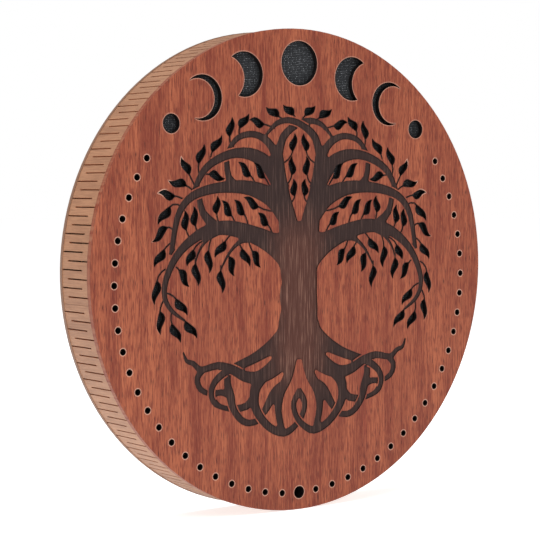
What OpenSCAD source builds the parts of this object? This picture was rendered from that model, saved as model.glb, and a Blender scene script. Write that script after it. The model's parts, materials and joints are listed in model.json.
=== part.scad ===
// Round peg board: a shallow kerf-bent drum with a pierced and engraved face.
// The face looks along -Y, +Z is the top of the artwork and the origin is the
// centre of the back panel's outer face. All sizes are in millimetres.

/* [Drum] */
// Outside diameter of both panels
disc_d = 254; // [216:1:310]
// Depth between the two panels' outer faces
drum_depth = 30; // [25:0.2:40]
// Thickness of the front panel
panel_t = 3; // [2.5:0.1:4]
// Thickness of the back panel
back_t = 2.2; // [2.1:0.1:4]
// Thickness of the kerf-bent band
band_t = 3; // [2:0.1:4]
// How far the band is set in from the panels' edges
band_inset = 0.3; // [0:0.1:1]

/* [Kerfs] */
// Number of saw slits round the band
kerf_count = 176; // [120:1:200]
// Width of one slit
kerf_w = 0.7; // [0.3:0.05:0.9]
// Uncut strip that each slit leaves at one edge of the band
kerf_web = 5.2; // [2:0.1:6]
// Direction of the band's butt seam, anticlockwise from +X on the face
seam_angle = 186.5; // [170:0.5:190]
// Plain length of the band on each side of the seam
seam_plain = 3.8; // [3:0.1:8]
// Gap left at the butt seam
seam_gap = 0.15; // [0.1:0.05:0.4]

/* [Peg holes] */
// Distance from the panel's edge to the circle through the holes
hole_inset = 13.7; // [11:0.1:16]
// How far the circle of holes is set below the panel's centre
hole_ring_drop = 4.6; // [0:0.1:6]
// Steps in a full circle of holes
hole_divisions = 64; // [48:1:72]
// Holes on each side of the large bottom hole
side_holes = 22; // [8:1:22]
// Diameter of a peg hole
peg_hole_d = 3.4; // [3.2:0.1:4]
// Diameter of the large hole at the bottom
game_hole_d = 6.6; // [5:0.1:8]
// Thickness of the block behind the holes
peg_block_t = 12; // [8:0.5:12]
// Solid floor left under each blind hole
peg_block_floor = 2; // [1:0.5:3]

/* [Face artwork] */
// Depth of the engraving
engrave_depth = 0.45; // [0.2:0.05:1]
// Gap at each edge of a branch or root that passes over another
weave_gap = 0.8; // [0.4:0.1:1.2]
// Radius of the fillets where branches and roots fork
crotch_r = 0.9; // [0.3:0.1:1.5]
// Radius where the lowest boughs and the top roots leave the trunk
bole_r = 7; // [2:0.5:9]
// Width of the widest part of a leaf opening
leaf_w = 4.5; // [3:0.1:5]
// Width of an engraved leaf stem
stem_w = 0.8; // [0.5:0.1:1.4]
// Radius of a full moon opening
moon_r = 11.7; // [9:0.1:12]
// Radius of the two small end moons
small_moon_r = 5; // [3:0.1:6]

/* [Cloth] */
// Thickness of the cloth behind the openings
cloth_t = 0.6; // [0.3:0.1:1]
// Distance from the cloth's edge to the inside of the band
cloth_margin = 2; // [1:0.5:4]

/* [Back panel and its screws] */
// Number of screws that hold the back panel
screw_count = 6; // [4:1:8]
// Shank diameter of a back screw
screw_d = 3; // [2.5:0.1:4]
// Head diameter of a back screw
screw_head_d = 6; // [5:0.1:8]
// Length of a back screw
screw_l = 9; // [7:0.5:9.5]
// Radial width of a screw block
block_w = 12; // [10:0.5:16]
// Angle that a screw block spans
block_span = 8; // [6:0.5:12]

/* [Peg storage] */
// Inside length of the peg tray
tray_l = 80; // [60:1:96]
// Inside height of the peg tray
tray_w = 22; // [20:0.5:26]
// Inside depth of the tray, behind the back panel
tray_depth = 12; // [10:0.5:14]
// Thickness of the tray's walls and floor
tray_wall = 2.5; // [2:0.1:3]
// Distance of the tray's centre below the panel's centre
tray_drop = 40; // [32:1:45]
// Corner radius of the opening in the back panel
tray_corner = 4; // [2:0.5:6]
// Thickness of the felt bed that the pegs lie in
bed_t = 5; // [4:0.5:6]

/* [Pegs] */
// Diameter of a peg's shank
peg_d = 3.1; // [2.8:0.05:3.15]
// Diameter of a peg's head
peg_head_d = 4.6; // [4:0.1:5]
// Length of a peg
peg_l = 34; // [26:1:36]
// Distance between two pegs in the tray
peg_pitch = 6.5; // [5.5:0.1:7]

/* [Cover] */
// Thickness of the brass cover plate
cover_t = 1.2; // [0.8:0.1:1.5]
// How far the cover laps over the back panel round the opening
cover_lap = 4; // [3:0.5:6]
// Thickness of the washer under the cover
washer_t = 0.8; // [0.5:0.1:1.2]
// Shoulder diameter of the pivot screw
pivot_d = 4; // [3:0.1:5]
// Distance from the opening's end to the pivot
pivot_offset = 12; // [11:0.5:16]
// Distance from the opening's end to the catch screw
catch_offset = 7.5; // [7:0.5:10]
// Shank diameter of the catch screw
catch_d = 2.6; // [2:0.1:3]
// Free gap between the cover and what it slides past
cover_gap = 0.3; // [0.2:0.05:0.5]
// Radial running clearance on the pivot's shoulder
pivot_clear = 0.05; // [0.02:0.01:0.1]
// Diameter of the cover's thumb button
button_d = 9; // [6:0.5:12]
// Height of the cover's thumb button
button_h = 1.6; // [1:0.1:1.8]

/* [Hanger] */
// Distance from the top of the panel to the keyhole's round entry
hanger_drop = 37; // [32:1:48]
// Width of the keyhole plate
hanger_w = 42; // [38:1:56]
// Height of the keyhole plate
hanger_h = 26; // [26:1:32]
// Thickness of the keyhole plate
hanger_t = 1.5; // [1:0.1:2]
// Diameter of the keyhole's round entry
keyhole_d = 9; // [8:0.1:10]
// Width of the keyhole's slot
keyslot_w = 4.5; // [4:0.1:5]
// Length of the slot above the entry's centre
keyslot_l = 10; // [8:0.5:12]
// Clear space round the keyhole for the wall screw's head
head_room = 2.5; // [1:0.5:4]

/* [Bumpers] */
// Height of a rubber bumper
bumper_h = 4.5; // [4.2:0.1:6]
// Diameter of a bumper where it meets the panel
bumper_d = 13; // [10:0.5:18]
// Distance from the panel's edge to a bumper's centre
bumper_inset = 22; // [20:1:26]

/* [Hidden] */
$fn = 96;
// Small screws: thread, head and length, and the blocks they bite into
thread_d = 2.6;
head_d = 6;
head_t = 1.4;
thread_l = 9;
pivot_head_d = 9;
anchor_t = 7;
anchor_w = 9;
anchor_h = 16;
// Metal left round the pivot and the catch at the cover's ends
cover_edge = 8;
cover_corner = 6;
button_stem_d = 3;

disc_r = disc_d / 2;
front_y = -drum_depth;
panel_back_y = front_y + panel_t;
band_w = drum_depth - panel_t - back_t;
band_out_r = disc_r - band_inset;
band_in_r = band_out_r - band_t;

hole_ring_r = disc_r - hole_inset;
hole_step = 360 / hole_divisions;
peg_block_back_y = panel_back_y + peg_block_t;
// The block covers the holes with this much wood at their sides and ends.
peg_block_wall = 5.4;
peg_block_in_r = hole_ring_r - hole_ring_drop - peg_block_wall;
peg_block_out_r = band_in_r - cover_gap;
peg_block_end = side_holes * hole_step + 3;

seam_half = seam_plain / band_out_r * 180 / PI;
kerf_step = (360 - 2 * seam_half) / (kerf_count - 1);

block_front_y = peg_block_back_y;
screw_r = band_in_r - block_w / 2;
first_screw = 90;

tray_z = -tray_drop;
tray_floor_y = -back_t - tray_depth;
bed_top_y = tray_floor_y + bed_t;
peg_gap = (tray_l - 2 * peg_l) / 3;

pivot_x = tray_l / 2 + pivot_offset;
catch_x = -tray_l / 2 - catch_offset;
cover_y = washer_t + pivot_clear;
cover_back_y = cover_y + cover_t;
cover_half_h = tray_w / 2 + cover_lap;
cover_left_x = catch_x - cover_edge;
cover_right_x = pivot_x + cover_edge;
button_x = -tray_l / 2 + 12;
catch_reach = pivot_x - catch_x;
notch_span = asin((cover_half_h + 1) / catch_reach);

hanger_z = disc_r - hanger_drop;
plate_z = hanger_z + keyslot_l / 2;
hanger_screw_x = hanger_w / 2 - 6;
bumper_r = disc_r - bumper_inset;

// ---- Placing ----------------------------------------------------------------

// Stands a flat drawing up at depth y, so that it extrudes towards the face.
module upright(y) {
    translate([0, y, 0]) rotate([90, 0, 0]) children();
}

module both_sides() {
    children();
    mirror([1, 0, 0]) children();
}

module round_bar(d, l, y, x = 0, z = 0) {
    translate([x, y, z]) rotate([90, 0, 0]) cylinder(d = d, h = l);
}

// A ring segment from y0 to y1, span degrees wide about the direction turn.
module ring_segment(r0, r1, y0, y1, turn, span) {
    upright(y1) rotate([0, 0, turn - span / 2])
        rotate_extrude(angle = span, $fn = 180)
            translate([r0, 0]) square([r1 - r0, y1 - y0]);
}

// ---- Artwork ----------------------------------------------------------------
// The artwork's points are drawn for a circle of holes with this radius.
art_ring_r = 113.3;
art_scale = hole_ring_r / art_ring_r;
// Points worked out between two of a stroke's own points
curve_steps = 3;
leaf_steps = 7;
stem_steps = 3;

// Each stroke is a run of [x, z, width] points, drawn on the right-hand side.
trunk = [[0, -47, 26], [0, -41, 32], [0.2, -33, 28], [-0.5, -27, 25.6], [0.4, -20, 23.4],
    [-0.5, -13, 24.4], [0.3, -6, 22.8], [-0.3, 1, 24], [0, 10, 26], [0, 22, 20], [0, 26, 6]];
leader = [[5, 12, 15], [7.5, 26, 12], [10.5, 38, 9.5], [13, 50, 8.5], [14, 60, 7], [13.5, 65, 4]];
inner_arch = [[14, 58, 5], [10.5, 70, 4.6], [2, 76.5, 3.6], [-7, 79, 3.2], [-15, 77, 2.6], [-21, 71.5, 1.4]];
outer_arch = [[12.5, 52, 5], [18, 65, 4.6], [26, 70.5, 3.6], [34, 71, 3.2], [41, 68, 2.8], [47, 60, 2.4]];
upper_bough = [[11, 42, 10], [18, 53, 9], [28, 60, 7], [40, 61.5, 5], [52, 58, 4.2], [61, 51.5, 3.6],
    [67, 40, 2.6]];
middle_bough = [[9, 29.5, 11], [18, 38.5, 10], [32, 43.5, 7.6], [47, 44, 5.8], [60, 42, 4.8], [70, 37.5, 4],
    [76.5, 28, 3.4], [80, 10, 2.6]];
lower_bough = [[4, 4, 14], [16, 13.5, 11.5], [30, 19.5, 9], [45, 23, 7.6], [57, 22, 6.4], [68, 17, 5],
    [77, 9, 4], [83, -2, 3.4], [84, -11, 2.8], [80, -18, 2.2], [72, -23.5, 1]];
middle_fork = [[38, 43, 5], [45, 49, 3.8], [46.5, 60, 3]];
lower_fork = [[52, 23, 6], [61, 31, 4], [63.5, 42, 3]];
low_twig = [[24, 16, 4], [36, 16.5, 2.6], [44, 11, 1.5], [50, 2, 0.8]];
end_twig = [[50, 22, 4], [58, 17.5, 2], [63, 12, 1.2], [65.5, 6, 0.8]];

top_root = [[6, -32, 13], [17, -39, 8], [28, -44.5, 5.6], [38, -48, 4.8], [47, -51, 4], [54, -56, 3.6],
    [56, -62, 3.2], [53, -67.5, 2.8], [43, -71, 2.2]];
main_root = [[6, -42, 12], [16, -50.5, 9.5], [26, -55, 7], [35, -54, 5.6], [43, -50, 4.8], [52, -47.5, 3.8],
    [62, -49, 3.2], [67, -45.5, 2.6], [71, -44, 2], [73, -39.5, 0.7]];
main_root_fork = [[60, -48.5, 3], [64.5, -53, 3.4], [62.5, -59, 3], [55, -62.5, 2.2]];
loop_root = [[22, -54, 6], [28, -60, 6.4], [29, -68, 5.4], [26, -75, 4.6], [19, -82, 4.2], [10, -85.5, 4],
    [3, -82.5, 3.4], [-2, -77, 3.2], [-3.6, -70, 3.4], [0.6, -63.5, 3.8]];
hook_root = [[45.5, -50, 3.6], [46, -57, 4.2], [44, -64, 5], [42.5, -70, 4], [38, -76, 3.6], [32, -78.6, 3.4],
    [23, -77, 2.8]];
hook_root_fork = [[45, -63, 3.6], [50, -61.4, 3.2], [57, -62.4, 2.6]];
loop_root_fork = [[29, -64, 4], [34, -69.6, 4], [44, -70.5, 3]];
centre_root = [[6, -46, 9], [7.5, -56, 6], [12.5, -64, 6], [13.6, -74, 4.2], [11, -85, 4]];
centre_root_fork = [[9, -59, 4], [15, -63, 5.6], [19, -68, 5], [22.5, -73, 4], [28, -78, 3]];

paired_strokes = [leader, inner_arch, outer_arch, upper_bough, middle_bough, lower_bough,
    middle_fork, lower_fork, low_twig, end_twig, top_root, main_root, main_root_fork, loop_root,
    hook_root, hook_root_fork, loop_root_fork, centre_root, centre_root_fork];

// Stretches that pass over other strokes: [stroke, from point, to point].
over_stretches = [[upper_bough, 2.9, 4.4], [middle_bough, 4.0, 5.4], [lower_bough, 5.4, 6.8],
    [main_root, 3.3, 4.8], [top_root, 3.9, 6.6], [hook_root, 2.4, 3.7], [loop_root, 2.6, 4.2]];
single_over_stretches = [[inner_arch, 1.6, 3.4], [loop_root, 5.6, 7.4]];

// Each leaf opening is [x, z, direction, length, bend, place that its stem grows from].
leaves = [
    // round the outside of the crown
    [3.5, 81.5, 38, 9, -1, [1, 78]], [13, 80.5, 30, 10, -1, [8.5, 78.5]], [22.5, 76.5, 12, 10, 1, [16, 74.5]],
    [38.5, 74, 128, 10, 1, [38, 70]], [44.5, 69.5, 98, 10.5, 1, [43.5, 65]],
    [55.5, 61.5, 125, 11, 1, [56, 56]], [63.5, 55.5, 108, 11, 1, [63, 50]],
    [69, 50, 62, 10.5, -1, [65.5, 44]], [70.5, 44.5, 14, 11.5, -1, [66, 41]],
    [77.5, 39.5, 8, 10.5, 1, [71, 37]], [80.5, 34.5, -52, 12, 1, [73, 34]],
    [82, 24, -38, 12, -1, [78.5, 22]], [84, 13, -56, 11, 1, [79, 16.5]],
    [88.5, -2.5, -84, 12.5, 1, [82.5, 3.5]], [86.8, -18, -92, 12, 1, [83.5, -11.5]],
    // between the leaders
    [3, 39, 84, 9.5, 1, [6, 35.5]], [5, 50, 92, 10.5, -1, [8.6, 45]], [4.4, 62.5, 98, 10, 1, [10.5, 56.5]],
    // between the upper and middle boughs
    [22, 48.5, 48, 11, 1, [19, 44]], [31, 49.5, 42, 11, 1, [28, 45]], [57.5, 50.5, -168, 10.5, 1, [62, 50.5]],
    // between the middle and lower boughs
    [20, 24, 45, 9.5, 1, [17, 18]], [26, 33.5, 28, 11, 1, [15, 31.5]], [35, 29.5, 50, 10.5, 1, [33, 23]],
    [43, 29, 52, 10.5, 1, [41, 25]], [52.5, 30, 92, 9.5, 1, [51, 25]], [65.5, 24, 84, 10.5, 1, [63, 20]],
    [71, 22, 84, 10.5, 1, [68.5, 18]],
    // hanging under the lower bough
    [37, 12.5, -118, 11, -1, [39, 15]], [45, 8.5, -108, 11, 1, [45.5, 10.5]], [50, 1.5, -94, 12, -1, [50, 4]],
    [47, 16.5, -52, 11, 1, [43.5, 20]], [57.5, 12, -92, 12, -1, [55.5, 18.5]],
    [65.5, 5.5, -97, 12, -1, [65.5, 8]], [66.5, 12.5, -64, 9.5, 1, [60, 17]],
    [75.5, 2.5, -125, 11, 1, [80, 5]], [30.5, 11, -122, 10.5, 1, [33, 17]],
    [77.5, -12, -128, 11.5, -1, [83.5, -9]], [72, -23.5, -128, 12, -1, [74, -22.5]],
    [80, -24.5, -118, 11.5, -1, [79.5, -18]]
];

// The moons, from the middle outwards: [x, z, radius, bite radius, bite offset].
moons = [[35.3, 102, moon_r, 11.8, [11.7, -2.5]], [60.9, 89.3, moon_r, 10.2, [3, -0.5]]];
full_moon_z = 109;
end_moon = [79.8, 75.8];

function curve_point(a, b, c, d, t) =
    (2 * b + (c - a) * t + (2 * a - 5 * b + 4 * c - d) * t * t + (3 * b - a - 3 * c + d) * t * t * t) / 2;

// A smooth run through every point of p.
function smooth(p) = let (m = len(p) - 1) concat(
    [for (i = [0:m - 1], k = [0:curve_steps - 1])
        curve_point(p[max(i - 1, 0)], p[i], p[i + 1], p[min(i + 2, m)], k / curve_steps)],
    [p[m]]);

// Part of a smooth run between two of the stroke's own points, longer by some steps at each end.
function slice(q, from, to, longer) =
    [for (i = [round(from * curve_steps) - longer:round(to * curve_steps) + longer]) q[i]];

function reversed(q) = [for (i = [len(q) - 1:-1:0]) q[i]];

// One edge of a run, grow wider than half its width; s is 1 or -1.
function edge(q, s, grow) = [for (i = [0:len(q) - 1])
    let (a = q[max(i - 1, 0)], b = q[min(i + 1, len(q) - 1)], run = [b[0] - a[0], b[1] - a[1]])
    [q[i][0] - s * run[1] / norm(run) * (q[i][2] / 2 + grow),
     q[i][1] + s * run[0] / norm(run) * (q[i][2] / 2 + grow)]];

module ribbon(q, grow = 0) {
    polygon(concat(edge(q, 1, grow), reversed(edge(q, -1, grow))));
}

module stretches(list, grow, longer) {
    for (s = list) ribbon(slice(smooth(s[0]), s[1], s[2], longer), grow);
}

module over_runs(grow, longer = 0) {
    both_sides() stretches(over_stretches, grow, longer);
    stretches(single_over_stretches, grow, longer);
}

// A leaf's middle line and half width, a share t of the way along it.
function leaf_middle(t, l, bend) = bend * l * 0.07 * sin(-360 * t);
function leaf_half(t) = leaf_w / 2 * pow(sin(180 * pow(t, 0.74)), 1.1);

module leaf(l, bend) {
    upper = [for (i = [0:leaf_steps]) let (t = i / leaf_steps)
        [t * l, leaf_middle(t, l, bend) + leaf_half(t)]];
    lower = [for (i = [leaf_steps - 1:-1:1]) let (t = i / leaf_steps)
        [t * l, leaf_middle(t, l, bend) - leaf_half(t)]];
    polygon(concat(upper, lower));
}

module leaf_openings() {
    both_sides() for (f = leaves)
        translate([f[0], f[1]]) rotate(f[2]) leaf(f[3], f[4]);
}

// A stem leaves its leaf straight and bends over to the place it grows from.
module leaf_stem(f) {
    root = f[5];
    start = [f[0] + cos(f[2]), f[1] + sin(f[2])];
    reach = norm(root - start) / 2;
    bend = start - reach * [cos(f[2]), sin(f[2])];
    ribbon([for (t = [0 : 1 / stem_steps : 1])
        concat(pow(1 - t, 2) * start + 2 * t * (1 - t) * bend + t * t * root, stem_w)]);
}

module tree() {
    difference() {
        union() {
            both_sides() for (f = leaves) leaf_stem(f);
            offset(r = -crotch_r, $fn = 12) offset(delta = crotch_r) union() {
                offset(r = -bole_r, $fn = 60) offset(delta = bole_r) union() {
                    ribbon(smooth(trunk));
                    both_sides() for (s = [lower_bough, top_root]) ribbon(smooth(s));
                }
                both_sides() for (s = paired_strokes) ribbon(smooth(s));
            }
        }
        over_runs(weave_gap);
    }
    over_runs(0, 1);
}

module crescent(m) {
    translate(art_scale * [m[0], m[1]]) difference() {
        circle(art_scale * m[2]);
        translate(art_scale * m[4]) circle(art_scale * m[3]);
    }
}

module moon_openings() {
    translate([0, art_scale * full_moon_z]) circle(art_scale * moon_r);
    both_sides() {
        for (m = moons) crescent(m);
        translate(art_scale * end_moon) circle(art_scale * small_moon_r);
    }
}

// Cuts through the whole panel, or into the face to depth cut.
module face_cut(cut) {
    upright(front_y + cut) linear_extrude(cut + 1) children();
}

// ---- Face and what lies behind it -------------------------------------------

// Every hole of the scoring track, deep drilled from the face.
module peg_holes(deep) {
    for (i = [-side_holes:side_holes])
        translate([0, 0, -hole_ring_drop]) rotate([0, 90 - i * hole_step, 0])
            translate([hole_ring_r, front_y + deep, 0]) rotate([90, 0, 0])
                cylinder(d = i == 0 ? game_hole_d : peg_hole_d, h = deep + 1, $fn = 48);
}

module front_panel() {
    color("#a05a46") difference() {
        upright(panel_back_y) cylinder(r = disc_r, h = panel_t, $fn = 360);
        face_cut(panel_t + 1) offset(delta = 0) scale(art_scale) leaf_openings();
        face_cut(engrave_depth) offset(delta = 0) scale(art_scale) tree();
        face_cut(panel_t + 1) moon_openings();
        peg_holes(panel_t + 1);
    }
}

module cloth_backing() {
    color("#2d2f32") difference() {
        upright(panel_back_y + cloth_t) cylinder(r = band_in_r - cloth_margin, h = cloth_t, $fn = 360);
        peg_block_shape(panel_back_y - 1, panel_back_y + cloth_t + 1, cover_gap);
    }
}

module peg_block_shape(y0, y1, grow) {
    ring_segment(peg_block_in_r - grow, band_in_r + grow, y0, y1, -90,
        2 * (peg_block_end + grow / hole_ring_r * 180 / PI));
}

module peg_block() {
    color("#b98d62") difference() {
        ring_segment(peg_block_in_r, peg_block_out_r, panel_back_y, peg_block_back_y, -90, 2 * peg_block_end);
        peg_holes(panel_t + peg_block_t - peg_block_floor);
    }
}

// ---- Band -------------------------------------------------------------------

module kerf_slit(i) {
    long = band_w - kerf_web + 1;
    start = i % 2 == 0 ? -back_t - long + 1 : panel_back_y - 1;
    rotate([0, -(seam_angle + seam_half + i * kerf_step), 0])
        translate([band_in_r - 1, start, -kerf_w / 2]) cube([band_t + 2, long, kerf_w]);
}

module kerf_band() {
    color("#c39673") difference() {
        upright(-back_t) cylinder(r = band_out_r, h = band_w, $fn = 360);
        upright(-back_t + 1) cylinder(r = band_in_r, h = band_w + 2, $fn = 360);
        for (i = [0:kerf_count - 1]) kerf_slit(i);
        rotate([0, -seam_angle, 0]) translate([band_in_r - 1, panel_back_y - 1, -seam_gap / 2])
            cube([band_t + 2, band_w + 2, seam_gap]);
    }
}

module seam_splice() {
    color("#b98d62")
        ring_segment(band_in_r - 2.5, band_in_r, peg_block_back_y + cover_gap, -back_t, seam_angle, 11);
}

// ---- Back -------------------------------------------------------------------

function screw_turn(i) = first_screw + i * 360 / screw_count;

module at_screws() {
    for (i = [0:screw_count - 1]) rotate([0, -screw_turn(i), 0]) translate([screw_r, 0, 0]) children();
}

// A countersunk screw pointing to the face, with its flat head at y = 0.
// As a cutter it also clears a little above the head.
module flat_screw(d, head, l, above = 0) {
    rotate([90, 0, 0]) rotate_extrude($fn = 48) polygon(concat(
        above > 0 ? [[0, -above], [head / 2, -above]] : [[0, 0]],
        [[head / 2, 0], [d / 2, (head - d) / 2], [d / 2, l], [0, l]]));
}

module driver_slot(y, wide) {
    translate([-wide / 2 - 1, y - 0.5, -0.4]) cube([wide + 2, 1, 0.8]);
}

module screw_blocks() {
    color("#b98d62") difference() {
        for (i = [0:screw_count - 1])
            ring_segment(band_in_r - block_w, band_in_r, block_front_y, -back_t, screw_turn(i), block_span);
        at_screws() flat_screw(screw_d, screw_head_d, screw_l);
    }
}

module back_screws() {
    color("#c9a24a") at_screws() difference() {
        flat_screw(screw_d, screw_head_d, screw_l);
        driver_slot(0, screw_head_d);
    }
}

// A box with rounded corners, l along X and w along Z, between y0 and y1.
module rounded_box(l, w, corner, y0, y1) {
    upright(y1) linear_extrude(y1 - y0) union() {
        square([l - 2 * corner, w], center = true);
        square([l, w - 2 * corner], center = true);
        for (x = [-1, 1], z = [-1, 1])
            translate([x * (l / 2 - corner), z * (w / 2 - corner)]) circle(corner);
    }
}

module keyhole_cut(grow, y0, y1) {
    round_bar(keyhole_d + 2 * grow, y1 - y0, y1, 0, hanger_z);
    round_bar(keyslot_w + 2 * grow, y1 - y0, y1, 0, hanger_z + keyslot_l);
    translate([-keyslot_w / 2 - grow, y0, hanger_z]) cube([keyslot_w + 2 * grow, y1 - y0, keyslot_l]);
}

module at_hanger_screws() {
    for (side = [-1, 1]) translate([side * hanger_screw_x, 0, plate_z]) children();
}

module back_panel() {
    color("#8a6a55") difference() {
        upright(0) cylinder(r = disc_r, h = back_t, $fn = 360);
        translate([0, 0, tray_z]) rounded_box(tray_l, tray_w, tray_corner, -back_t - 1, 1);
        at_screws() flat_screw(screw_d, screw_head_d, screw_l, 1);
        translate([0, 0, plate_z]) rounded_box(hanger_w, hanger_h, tray_corner, -hanger_t, 1);
        keyhole_cut(head_room, -back_t - 1, 1);
        at_hanger_screws() round_bar(thread_d, thread_l, 0);
        round_bar(thread_d, thread_l, 1, pivot_x, tray_z);
        round_bar(catch_d, thread_l, 1, catch_x, tray_z);
    }
}

module peg_tray() {
    color("#b98d62") translate([0, 0, tray_z]) difference() {
        rounded_box(tray_l + 2 * tray_wall, tray_w + 2 * tray_wall, tray_corner + tray_wall,
            tray_floor_y - tray_wall, -back_t);
        rounded_box(tray_l, tray_w, tray_corner, tray_floor_y, -back_t + 1);
    }
}

// A block glued behind the back panel for a screw of diameter d at x, z to bite into.
module anchor(w, x, z, d) {
    color("#b98d62") difference() {
        translate([x - w / 2, -back_t - anchor_t, z - anchor_h / 2]) cube([w, anchor_t, anchor_h]);
        round_bar(d, thread_l, 0, x, z);
    }
}

module pivot_block() {
    anchor(anchor_w + 2, pivot_x, tray_z, thread_d);
}

module catch_block() {
    anchor(anchor_w, catch_x, tray_z, catch_d);
}

// ---- Pegs -------------------------------------------------------------------

// A turned peg along +X with its tip at the origin.
module peg_shape() {
    rotate([0, 90, 0]) rotate_extrude($fn = 48) polygon([[0, 0], [peg_d / 2 - 0.5, 0], [peg_d / 2, 4],
        [peg_d / 2, peg_l - 9], [peg_head_d / 2, peg_l - 8], [peg_head_d / 2 - 0.6, peg_l - 5],
        [peg_head_d / 2, peg_l - 2], [peg_head_d / 2 - 0.8, peg_l], [0, peg_l]]);
}

// Peg n of 0 to 2 in the left (side -1) or right (side 1) half of the tray.
module peg(side, n) {
    translate([side * peg_gap / 2, bed_top_y, tray_z + (n - 1) * peg_pitch])
        rotate([0, side > 0 ? 0 : 180, 0]) peg_shape();
}

module peg_bed() {
    color("#3b5240") difference() {
        translate([0, 0, tray_z]) rounded_box(tray_l - 2 * cover_gap, tray_w - 2 * cover_gap,
            tray_corner - cover_gap, tray_floor_y, bed_top_y);
        for (side = [-1, 1], n = [0:2]) peg(side, n);
    }
}

module light_peg(n) {
    color("#d9bd8c") peg(-1, n);
}

module dark_peg(n) {
    color("#4a2e20") peg(1, n);
}

// ---- Cover ------------------------------------------------------------------

// The path of the catch screw's shank as the cover swings up from it.
module catch_notch() {
    translate([pivot_x, 0, tray_z])
        ring_segment(catch_reach - catch_d / 2 - cover_gap, catch_reach + catch_d / 2 + cover_gap,
            cover_y - 1, cover_back_y + 1, 180 + notch_span / 2, notch_span);
    round_bar(catch_d + 2 * cover_gap, cover_t + 2, cover_back_y + 1, catch_x, tray_z);
}

module cover_plate() {
    color("#c9a24a") difference() {
        translate([(cover_left_x + cover_right_x) / 2, 0, tray_z])
            rounded_box(cover_right_x - cover_left_x, 2 * cover_half_h, cover_corner, cover_y, cover_back_y);
        catch_notch();
        round_bar(pivot_d + 2 * pivot_clear, cover_t + 2, cover_back_y + 1, pivot_x, tray_z);
        round_bar(button_stem_d, cover_t + 2, cover_back_y + 1, button_x, tray_z);
    }
}

module cover_button() {
    color("#c9a24a") {
        round_bar(button_d, button_h, cover_back_y + button_h, button_x, tray_z);
        round_bar(button_stem_d, cover_t + 0.1, cover_back_y + 0.1, button_x, tray_z);
    }
}

module cover_washer() {
    color("#e8e6df") difference() {
        round_bar(pivot_head_d, washer_t, washer_t, pivot_x, tray_z);
        round_bar(pivot_d + 2 * pivot_clear, washer_t + 2, washer_t + 1, pivot_x, tray_z);
    }
}

module pivot_screw() {
    head_y = cover_back_y + pivot_clear;
    color("#c9a24a") difference() {
        union() {
            round_bar(pivot_head_d, head_t, head_y + head_t, pivot_x, tray_z);
            round_bar(pivot_d, head_y + 0.1, head_y + 0.1, pivot_x, tray_z);
            round_bar(thread_d, thread_l - 1, 0.1, pivot_x, tray_z);
        }
        translate([pivot_x, 0, tray_z]) driver_slot(head_y + head_t, pivot_head_d);
    }
}

module catch_screw() {
    head_y = cover_back_y + cover_gap;
    color("#c9a24a") difference() {
        union() {
            round_bar(head_d, head_t, head_y + head_t, catch_x, tray_z);
            round_bar(catch_d, head_y + thread_l - 1, head_y + 0.1, catch_x, tray_z);
        }
        translate([catch_x, 0, tray_z]) driver_slot(head_y + head_t, head_d);
    }
}

// ---- Hanger and bumpers -----------------------------------------------------

module hanger_plate() {
    color("#c9a24a") difference() {
        translate([0, 0, plate_z]) rounded_box(hanger_w, hanger_h, tray_corner, -hanger_t, 0);
        keyhole_cut(0, -hanger_t - 1, 1);
        at_hanger_screws() flat_screw(thread_d, head_d - 1, thread_l - 1, 1);
    }
}

module hanger_blocks() {
    for (side = [-1, 1]) anchor(anchor_w, side * hanger_screw_x, plate_z, thread_d);
}

module hanger_screws() {
    color("#c9a24a") at_hanger_screws() difference() {
        flat_screw(thread_d, head_d - 1, thread_l - 1);
        driver_slot(0, head_d);
    }
}

// A tapered rubber bumper in the quarter of the back that side and up point to.
module bumper(side, up) {
    color("#26282a") translate([side * bumper_r * sin(45), bumper_h, up * bumper_r * cos(45)])
        rotate([90, 0, 0]) cylinder(d1 = bumper_d - 2, d2 = bumper_d, h = bumper_h, $fn = 48);
}

front_panel();
cloth_backing();
peg_block();
kerf_band();
seam_splice();
back_panel();
screw_blocks();
back_screws();
peg_tray();
peg_bed();
light_peg(0);  // peg_light_1
light_peg(1);  // peg_light_2
light_peg(2);  // peg_light_3
dark_peg(0);  // peg_dark_1
dark_peg(1);  // peg_dark_2
dark_peg(2);  // peg_dark_3
cover_plate();
cover_button();
cover_washer();
pivot_screw();
catch_screw();
pivot_block();
catch_block();
hanger_plate();
hanger_blocks();
hanger_screws();
bumper(-1, 1);  // bumper_top_left
bumper(1, 1);  // bumper_top_right
bumper(-1, -1);  // bumper_bottom_left
bumper(1, -1);  // bumper_bottom_right
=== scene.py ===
"""Finishes a round peg board: wood, cloth, felt, brass and rubber on its packed solids.

The engraved face looks along -Y, +Z is up and +X is to the viewer's right.
"""

import json
import math

import bmesh
import bpy
from bpy.props import FloatProperty, FloatVectorProperty, PointerProperty
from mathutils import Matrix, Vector


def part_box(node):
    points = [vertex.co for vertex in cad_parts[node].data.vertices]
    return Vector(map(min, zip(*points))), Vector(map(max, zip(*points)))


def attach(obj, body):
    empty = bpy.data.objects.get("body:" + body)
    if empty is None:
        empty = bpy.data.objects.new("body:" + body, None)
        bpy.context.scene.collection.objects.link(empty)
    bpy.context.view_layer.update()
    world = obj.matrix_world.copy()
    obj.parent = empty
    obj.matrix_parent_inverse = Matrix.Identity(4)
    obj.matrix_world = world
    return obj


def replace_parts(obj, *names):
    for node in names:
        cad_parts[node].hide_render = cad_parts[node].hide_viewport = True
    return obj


bl_info = {
    "name": "Round Peg Board",
    "version": (1, 0, 0),
    "blender": (4, 5, 0),
    "location": "3D View > Sidebar > Peg Board",
    "description": "Gives a round kerf-bent peg board its woods, cloth, felt, brass and rubber",
    "category": "Object",
}

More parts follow.
